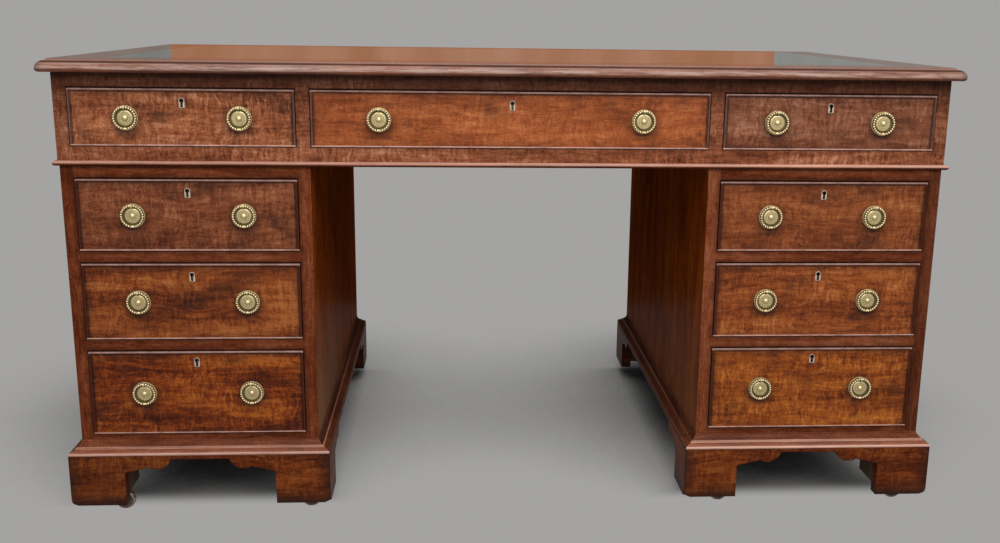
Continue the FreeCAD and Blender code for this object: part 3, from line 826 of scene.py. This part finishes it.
def drawer_material(name, pulls):
    """A drawer: figured veneer in front, dark round its edges and round its pulls, with painted shadow
    below them, and plain linings behind.
    """
    s = Shader(name + "_wood")
    tint, figure_share, band_share, contrast = drawer_looks[name]
    low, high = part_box(name + "_drawer")
    x_edge = s.smaller(s.minus(s.x, low.x), s.minus(high.x, s.x))
    low_edge = s.minus(s.z, low.z)
    high_edge = s.minus(high.z, s.z)
    tone, pores = wood_tone(s, s.place, figure_share, band_share, contrast)
    inset = reduce(s.smaller, (x_edge, s.plus(low_edge, low_grime_trim), high_edge))
    colour = s.mix(drawer_grime_and_shadow(s, inset, pulls), wood_colour(s, tone, tint), grime_and_shade)
    side_crest_share = frieze_side_crest_share if name.startswith("frieze") else 0.0
    colour = beaded_edges(s, colour, x_edge, low_edge, high_edge, side_crest_share)
    rear = low.y + cock_bead_proud + front_thickness + lining_start
    behind = s.larger(s.over(s.y, rear), s.over(s.facing[1], inward_share))
    colour = s.mix(behind, colour, s.ramp(s.noise(s.place, *lining_noise), lining_stops))
    roughness = s.scaled(behind, lining_dull_share, drawer_roughness)
    return polish(s, colour, pores, roughness, drawer_ease, gloss=0.18, coat=drawer_coat)


def block_material():
    """Glued corner blocks: dry, sawn softwood gone brown."""
    s = Shader("block_wood")
    grain = s.noise(s.place, *block_noise)
    normal = s.bump(grain, block_bump_share, block_depth)
    return s.finish(s.ramp(grain, block_stops), block_roughness, normal)


# Leather and metal

def leather_material():
    """Worn hide, dark green gone grey, rubbed in patches and glossy at a low angle."""
    s = Shader("hide")
    cells = s.fill(s.node("TexVoronoi"), vector=s.place, scale=hide_cells)
    rub = s.noise(s.place, *hide_rub_noise)
    fleck = s.noise(s.place, *hide_fleck_noise)
    colour = s.ramp(s.scaled(fleck, hide_fleck_share, s.times(rub, hide_rub_share)), hide_stops)
    height = s.scaled(fleck, hide_fleck_height_share, cells.outputs["Distance"])
    grazing = s.node("LayerWeight").outputs["Facing"]
    shine = s.times(s.band(rub, *hide_dull_span), s.band(grazing, *hide_grazing_span))
    dents = s.bump(s.noise(s.place, *dent_noise), hide_dent_share, dent_depth)
    normal = s.bump(height, hide_bump_share, hide_depth, dents)
    return s.finish(colour, shine, normal, specular_ior_level=0.14)


def brass_material(name):
    """Aged brass: rubbed bright on the high parts, dark in the hollows."""
    s = Shader(name)
    bright, dull, hollow_colour, roughness, patina_share = brass_looks[name]
    hollow = s.node("Attribute", attribute_name="patina").outputs["Fac"]
    cloud = s.noise(s.place, *brass_cloud_noise)
    spots = s.noise(s.place, *brass_spot_noise)
    metal = s.mix(s.band(cloud, *brass_cloud_span), bright, dull)
    depth = s.times(s.scaled(spots, brass_spot_share, brass_hollow_share), hollow)
    colour = s.mix(s.times(depth, patina_share), metal, hollow_colour)
    shine = s.scaled(depth, brass_dull_share, s.scaled(cloud, brass_cloud_share, roughness))
    return s.finish(colour, shine, s.bump(spots, brass_bump_share, brass_depth), metallic=0.82)


# Mesh pieces

def scaled_profile(shares, radius, height):
    return [(radius * out, height * along, patina) for out, along, patina in shares]


class Piece:
    """Collects geometry in the desk's frame, then becomes an object that rides on a body."""

    def __init__(self):
        self.mesh = bmesh.new()
        self.layer = self.mesh.verts.layers.float.new("patina")

    def point(self, place, patina):
        vertex = self.mesh.verts.new(place)
        vertex[self.layer] = patina
        return vertex

    def skin(self, rows):
        """Faces between closed rows of vertices; a row of one vertex closes to a point."""
        for first, last in zip(rows[:-1], rows[1:]):
            for index in range(max(len(first), len(last))):
                corners = [first[index % len(first)], first[(index + 1) % len(first)],
                           last[(index + 1) % len(last)], last[index % len(last)]]
                self.mesh.faces.new(list(dict.fromkeys(corners)))

    def ring(self, centre, first, second, radius, count, patina):
        """Points round a centre in the plane of two directions."""
        row = []
        for index in range(count):
            angle = 2 * math.pi * index / count
            out = first * math.cos(angle) + second * math.sin(angle)
            row.append(self.point(centre + out * radius, patina))
        return row

    def turned(self, origin, axis, profile, segments):
        """A lathe form from (radius, distance, patina) along an axis."""
        axis = Vector(axis)
        first = Vector((axis.y, axis.z, axis.x))
        rows = []
        for radius, distance, patina in profile:
            count = segments if radius > 0 else 1
            centre = origin + axis * distance
            rows.append(self.ring(centre, first, axis.cross(first), radius, count, patina))
        self.skin(rows)
        return rows

    def ball(self, centre, radius, segments):
        bmesh.ops.create_uvsphere(self.mesh, u_segments=segments[0], v_segments=segments[1], radius=radius,
                                  matrix=Matrix.Translation(centre))

    def tube(self, points, radius, sides, patina):
        """A round bar along points, capped at its ends."""
        rows = []
        for index, point in enumerate(points):
            ahead = points[min(index + 1, len(points) - 1)] - points[max(index - 1, 0)]
            ahead.normalize()
            lengthwise = abs(ahead.y) > max(abs(ahead.x), abs(ahead.z))
            across = ahead.cross(Vector((1, 0, 0)) if lengthwise else Vector((0, 1, 0)))
            across.normalize()
            rows.append(self.ring(point, across, ahead.cross(across), radius, sides, patina))
        self.skin(rows)
        self.mesh.faces.new(rows[0])
        self.mesh.faces.new(rows[-1])

    def block(self, low, high, ease, patina):
        """A box with eased edges."""
        place = Matrix.Translation((low + high) / 2) @ Matrix.Diagonal((*(high - low), 1.0))
        made = bmesh.ops.create_cube(self.mesh, size=1.0, matrix=place)
        edges = {edge for vertex in made["verts"] for edge in vertex.link_edges}
        eased = bmesh.ops.bevel(self.mesh, geom=list(edges), offset=ease, segments=ease_segments,
                                profile=0.5, affect="EDGES")
        for vertex in set(made["verts"]) | set(eased["verts"]):
            if vertex.is_valid:
                vertex[self.layer] = patina

    def finish(self, name, material, body, slot, stands_for=()):
        bmesh.ops.recalc_face_normals(self.mesh, faces=self.mesh.faces[:])
        data = bpy.data.meshes.new(name)
        self.mesh.to_mesh(data)
        self.mesh.free()
        for polygon in data.polygons:
            polygon.use_smooth = True
        data.set_sharp_from_angle(angle=math.radians(sharp_angle))
        data.materials.append(material)
        made = bpy.data.objects.new(name, data)
        bpy.context.scene.collection.objects.link(made)
        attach(made, body)
        if stands_for:
            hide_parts(*stands_for)


# Pulls, keyholes and locks

def pull_pivot(name, word):
    """The middle of a ring's pin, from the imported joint."""
    return Vector(joints[f"{name}_{word}_ring_hinge"]["pos_m"])


def pull_centre(name, word):
    """The middle of a pull's back plate on the drawer front."""
    rise = math.sqrt(ring_radius ** 2 - pin_half_length ** 2)
    return pull_pivot(name, word) + Vector((0, ring_stand_off, -rise))


def ring_piece(name, word, material):
    """A beaded drop ring with its pin, knuckles and bottom drop."""
    piece = Piece()
    pivot = pull_pivot(name, word)
    centre = pull_centre(name, word) - Vector((0, ring_stand_off, 0))
    gap_angle = math.asin(pin_half_length / ring_radius)
    places = []
    for index in range(bead_count):
        angle = gap_angle + 2 * (math.pi - gap_angle) * index / (bead_count - 1)
        places.append(centre + ring_radius * Vector((math.sin(angle), 0, math.cos(angle))))
    piece.tube(places, ring_core_radius, ring_core_sides, patina=0.9)
    for place in places[1:-1]:
        piece.ball(place, bead_radius, bead_segments)
    pin = Vector((pin_half_length, 0, 0))
    piece.tube([pivot - pin, pivot + pin], pin_radius, pin_sides, patina=0.9)
    for end in (places[0], places[-1]):
        piece.ball(end, knuckle_radius, knuckle_segments)
    drop = Vector((0, 0, ring_radius + drop_radius * drop_share))
    piece.ball(centre - drop, drop_radius, drop_segments)
    node = f"{name}_{word}_ring"
    piece.finish(node + "_beaded", material, node, "brass", (node,))


def head_angles(neck):
    """Angles round a keyhole's head, from one side of the neck below it to the other."""
    turn = 2 * (math.pi - neck)
    return [neck + turn * index / (keyhole_segments - 1) for index in range(keyhole_segments)]


def keyhole_levels(z, wall):
    """Heights of the middle of a keyhole's head and of its foot."""
    return z + keyhole_height / 2 - keyhole_radius, z - keyhole_height / 2 - wall


def keyhole_path(x, z, wall):
    """A keyhole outline grown outward by a wall, as (x, z) places."""
    head = keyhole_radius + wall
    half_slot = keyhole_slot / 2 + wall
    head_z, foot_z = keyhole_levels(z, wall)
    path = [(x - half_slot, foot_z), (x + half_slot, foot_z)]
    for angle in head_angles(math.asin(half_slot / head)):
        path.append((x + head * math.sin(angle), head_z - head * math.cos(angle)))
    return path


def escutcheon_path(x, z, wall):
    """A straight-sided outline with a round head, in as many (x, z) places as a keyhole."""
    half = keyhole_radius + wall
    head_z, foot_z = keyhole_levels(z, wall)
    path = [(x - half, foot_z), (x + half, foot_z)]
    for angle in head_angles(math.asin(keyhole_slot / 2 / keyhole_radius)):
        drop = math.cos(angle)
        if drop > 0:
            path.append((x + math.copysign(half, math.sin(angle)), head_z - (head_z - foot_z) * drop))
        else:
            path.append((x + half * math.sin(angle), head_z - half * drop))
    return path


def keyhole_place(name):
    low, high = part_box(name + "_drawer")
    drop = keyhole_drop_bottom if name.endswith("bottom") else keyhole_drop
    return (low.x + high.x) / 2, high.z + drawer_top_gap - drop


def escutcheon_piece(name, material):
    """A brass lining let into a drawer front round its keyhole."""
    piece = Piece()
    front = pull_centre(name, "left").y
    x, z = keyhole_place(name)
    rows = []
    for outline, shares in ((keyhole_path, inner_lining_shares), (escutcheon_path, outer_lining_shares)):
        for wall_share, proud_share, depth_share, patina in shares:
            y = front - escutcheon_proud * proud_share + escutcheon_depth * depth_share
            path = outline(x, z, escutcheon_wall * wall_share)
            rows.append([piece.point((a, y, b), patina) for a, b in path])
    piece.skin(rows)
    piece.finish(name + "_escutcheon", material, name + "_drawer", "brass")


def add_pull_plate(piece, name, word):
    """A pull's turned back plate with its neck and lug, and the nut and bolt that hold it."""
    centre = pull_centre(name, word)
    pivot = pull_pivot(name, word)
    profile = scaled_profile(plate_shares, plate_radius, plate_height)
    rows = piece.turned(centre, (0, -1, 0), profile, plate_segments)
    piece.mesh.faces.new(rows[0])
    neck = Vector((0, ring_stand_off, 0))
    piece.tube([pivot + neck, pivot], lug_radius * neck_share, neck_sides, patina=0.5)
    across = Vector((lug_half_width, 0, 0))
    piece.tube([pivot - across, pivot + across], lug_radius, lug_sides, patina=0.1)
    seat = centre + Vector((0, front_thickness, 0))
    nut = Vector((nut_half_width, 0, nut_half_width))
    piece.block(seat - nut, seat + nut + Vector((0, nut_thickness, 0)), nut_ease, patina=0.6)
    piece.tube([seat, seat + Vector((0, bolt_end, 0))], bolt_radius, bolt_sides, patina=0.5)


def add_lock(piece, name):
    """A closed lock case let into the back of a drawer front, with a screw near each corner."""
    x = keyhole_place(name)[0]
    inside = pull_centre(name, "left").y + front_thickness
    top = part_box(name + "_drawer")[1].z - cock_bead_width
    half = lock_width / 2
    piece.block(Vector((x - half, inside - lock_thickness, top - lock_height)),
                Vector((x + half, inside, top)), lock_ease, patina=0.7)
    profile = scaled_profile(screw_shares, screw_radius, screw_height)
    for way in (-1, 1):
        for z in (top - lock_height + screw_inset, top - screw_inset):
            screw = Vector((x + way * (half - screw_inset), inside - screw_sink, z))
            piece.turned(screw, (0, 1, 0), profile, screw_segments)


def fittings_piece(name, material):
    """A drawer's fixed brass: two pull plates and the lock."""
    piece = Piece()
    for word in hands:
        add_pull_plate(piece, name, word)
    add_lock(piece, name)
    piece.finish(name + "_fittings_fine", material, name + "_drawer", "brass", (name + "_fittings",))


# Castors

def cheek_outline(swivel, axle, crown_low, crown_high):
    """One cheek of a horn, from the crown down round the axle's eye, as (x, z) places."""
    top = crown_high - cheek_top_drop
    path = [(swivel.x - cheek_half, top), (swivel.x - cheek_half, crown_low)]
    for index in range(cheek_eye_steps + 1):
        angle = math.pi * (1 + index / cheek_eye_steps)
        path.append((axle.x + cheek_half * math.cos(angle),
                     axle.z + cheek_half * math.sin(angle)))
    return path + [(swivel.x + cheek_shoulder, crown_low), (swivel.x + cheek_half, top)]


def horn_piece(name, material):
    """A castor's horn: a turned stem and crown over two cheeks with a riveted axle."""
    piece = Piece()
    swivel = Vector(joints[name + "_swivel"]["pos_m"])
    axle = Vector(joints[name + "_roll"]["pos_m"])
    low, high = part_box(name + "_horn")
    wheel_low, wheel_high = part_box(name + "_wheel")
    half_horn = (high.y - low.y) / 2
    inner = (wheel_high.y - wheel_low.y) / 2 + cheek_gap
    crown_high = swivel.z - crown_drop
    crown_low = crown_high - crown_height
    stem = high.z - crown_low
    profile = scaled_profile(crown_shares, crown_radius, crown_height)
    profile += [(stem_radius, crown_height, stem_foot_patina), (stem_radius, stem, stem_patina),
                (0, stem, stem_patina)]
    rows = piece.turned(Vector((swivel.x, swivel.y, crown_low)), (0, 0, 1), profile, castor_segments)
    piece.mesh.faces.new(rows[0])
    outline = cheek_outline(swivel, axle, crown_low, crown_high)
    rivet_profile = scaled_profile(rivet_shares, rivet_radius, rivet_height)
    for way in (-1, 1):
        sides = []
        for reach in (inner, half_horn * cheek_face_share):
            sides.append([piece.point((x, swivel.y + way * reach, z), cheek_patina) for x, z in outline])
        piece.skin(sides)
        for side in sides:
            piece.mesh.faces.new(side)
        seat = axle + Vector((0, way * half_horn * rivet_seat_share, 0))
        piece.turned(seat, (0, way, 0), rivet_profile, rivet_segments)
    end = Vector((0, half_horn * axle_end_share, 0))
    piece.tube([axle - end, axle + end], axle_radius, axle_sides, patina=0.8)
    piece.finish(name + "_horn_fine", material, name + "_horn", "castor_brass", (name + "_horn",))


def wheel_piece(name, material):
    """A castor's wheel: a hub, a sunk web and a rounded tread, bored for its axle."""
    piece = Piece()
    axle = Vector(joints[name + "_roll"]["pos_m"])
    low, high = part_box(name + "_wheel")
    width = high.y - low.y
    near = [(axle_radius + bore_gap, bore_ease, bore_patina)] + scaled_profile(wheel_shares, axle.z, width)
    far = [(radius, width - distance, patina) for radius, distance, patina in reversed(near)]
    rows = piece.turned(Vector((axle.x, low.y, axle.z)), (0, 1, 0), near + far, castor_segments)
    piece.skin([rows[-1], rows[0]])
    piece.finish(name + "_wheel_fine", material, name + "_wheel", "castor_brass", (name + "_wheel",))


# The desk

def dress(node, material):
    """Gives one of the frame's nodes its material."""
    frame["nodes"][node].material_slots[0].material = material


for word in pedestal_looks:
    dress(word + "_pedestal", carcass_material(word))
dress("frieze_frame", frieze_material())
dress("applied_mouldings", moulding_material())
dress("bracket_boards", foot_material())
dress("desk_top", top_material())
dress("leather_panel", leather_material())
dress("foot_blocks", block_material())

brass = {name: brass_material(name) for name in brass_looks}
for name in drawer_looks:
    dress(name + "_drawer", drawer_material(name, [pull_centre(name, word) for word in hands]))
    escutcheon_piece(name, brass["pale_brass"])
    fittings_piece(name, brass["aged_brass"])
    for word in hands:
        ring_piece(name, word, brass["rubbed_brass"])
for joint in joints:
    if joint.endswith("_castor_swivel"):
        castor = joint.removesuffix("_swivel")
        horn_piece(castor, brass["castor_brass"])
        wheel_piece(castor, brass["castor_brass"])


# Stage, light and camera

def flat_mesh(name, low, high, material):
    """A flat piece of the stage between two opposite corners."""
    corners = [low, (high[0], *low[1:]), high, (low[0], *high[1:])]
    data = bpy.data.meshes.new(name)
    data.from_pydata(corners, [], [range(len(corners))])
    data.materials.append(material)
    made = bpy.data.objects.new(name, data)
    bpy.context.scene.collection.objects.link(made)
    return made


def floor_material():
    """A pale floor at the background's grey, shaded under the desk and lit in front of it."""
    s = Shader("studio_floor")
    seen = s.seen()
    s.finish(s.mix(seen, floor_colour, floor_shadow), floor_roughness, specular_ior_level=0.1)
    lean = s.node("CombineXYZ", *shade_lean).outputs[0]
    sky = s.fill(s.node("AmbientOcclusion", samples=shade_samples), distance=shade_reach, normal=lean)
    openness = s.plus(sky.outputs["AO"], s.band(s.y, *shade_depth_span))
    shade = s.ramp(openness, [(position, (share, share, share)) for position, share in shade_shares])
    bright = s.times(s.larger(shade, s.band(s.y, *front_light_span)), seen)
    glow = s.node("Emission", background)
    s.show(s.node("MixShader", bright, s.surface.outputs[0], glow.outputs[0]), "Material Output")
    return s.material


def card_material():
    """A glowing card that paints a brown wall with greenish grey beside it, dark below, and shows only in
    reflections.
    """
    s = Shader("glowing_reflection_card")
    middle = s.ramp(s.noise(s.place, *panel_noise), panel_stops)
    on_right = s.over(s.x, card_right)
    streaks = s.scaled(on_right, right_wing_share, s.noise(s.place, *wing_noise))
    lit = s.mix(s.larger(s.under(s.x, card_left), on_right), middle, s.ramp(streaks, wing_stops))
    s.show(s.node("Emission", s.mix(s.band(s.z, *card_shade_span), card_shadow, lit)), "Material Output")
    return s.material


def area_light(name, place, target, size, watts, colour):
    data = bpy.data.lights.new(name, "AREA")
    data.shape = "RECTANGLE"
    data.size, data.size_y = size
    data.energy = watts
    data.color = colour
    made = bpy.data.objects.new(name, data)
    made.location = place
    made.rotation_mode = "QUATERNION"
    made.rotation_quaternion = (Vector(target) - Vector(place)).to_track_quat("-Z", "Y")
    bpy.context.scene.collection.objects.link(made)


flat_mesh("floor", (-floor_half, -floor_half, 0), (floor_half, floor_half, 0), floor_material())
card = flat_mesh("glowing_reflection_card", (-card_half, card_y, 0), (card_half, card_y, card_height), card_material())
card.visible_camera = False
card.visible_diffuse = False
card.visible_shadow = False

world = bpy.data.worlds.new("studio")
world.use_nodes = True
bpy.context.scene.world = world
sky = Nodes(world.node_tree)
ambient = sky.tree.nodes["Background"]
sky.fill(ambient, color=ambient_colour, strength=ambient_strength)
shown = sky.node("Background", background)
sky.show(sky.node("MixShader", sky.seen(), ambient.outputs[0], shown.outputs[0]), "World Output")

for name, look in area_lights.items():
    area_light(name, *look)

camera = bpy.data.objects.new("camera", bpy.data.cameras.new("camera"))
bpy.context.scene.collection.objects.link(camera)
camera.data.sensor_width = sensor_width
camera.data.lens = focal_pixels * sensor_width / image_width
camera.data.shift_x = (image_width / 2 - principal_x) / image_width
camera.data.shift_y = (principal_y - image_height / 2) / image_width
yaw, pitch, roll = (math.radians(angle) for angle in (camera_yaw, camera_pitch, camera_roll))
ahead = Vector((math.sin(yaw) * math.cos(pitch), math.cos(yaw) * math.cos(pitch), -math.sin(pitch)))
level = Vector((math.cos(yaw), -math.sin(yaw), 0))
rise = level.cross(ahead)
right = level * math.cos(roll) + rise * math.sin(roll)
up = rise * math.cos(roll) - level * math.sin(roll)
camera.matrix_world = Matrix.Translation(camera_place) @ Matrix((right, up, -ahead)).transposed().to_4x4()
bpy.context.scene.camera = camera
bpy.context.scene.view_settings.view_transform = "Standard"
